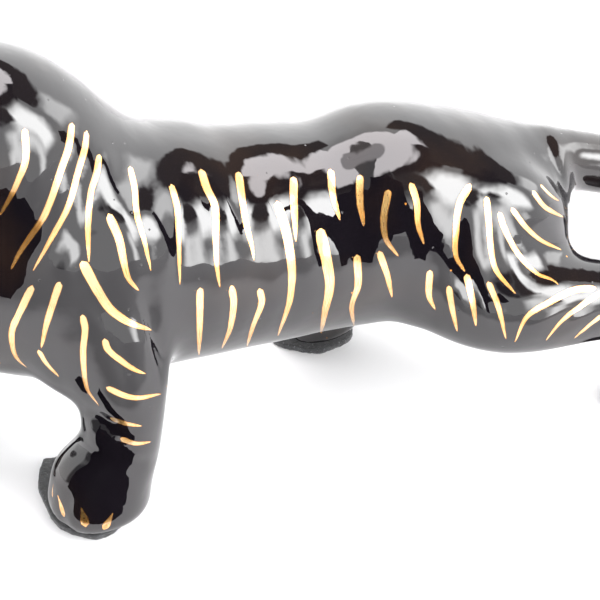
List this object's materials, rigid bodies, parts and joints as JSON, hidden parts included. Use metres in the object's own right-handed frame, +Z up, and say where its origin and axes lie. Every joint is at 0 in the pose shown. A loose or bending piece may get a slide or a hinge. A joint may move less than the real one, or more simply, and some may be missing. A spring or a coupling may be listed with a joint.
{
  "type": "tiger figurine",
  "caption": "Striding tiger figurine in glossy black glazed ceramic with hand-painted gold stripes, standing on felt pads.",
  "frame": {"origin": "on the ground, under the middle of the bounding box", "axes": "the tiger walks towards -X, its left side is at -Y, and +Z is up"},
  "size_m": [0.461, 0.1308, 0.1838],
  "materials": {
    "glaze": "gloss",
    "felt": "matte, rough-cut"
  },
  "bodies": {
    "root": {"tiger": "glaze", "felt_pad_front_left": "felt", "felt_pad_front_right": "felt", "felt_pad_hind_left": "felt", "felt_pad_hind_right": "felt"}
  },
  "joints": []
}
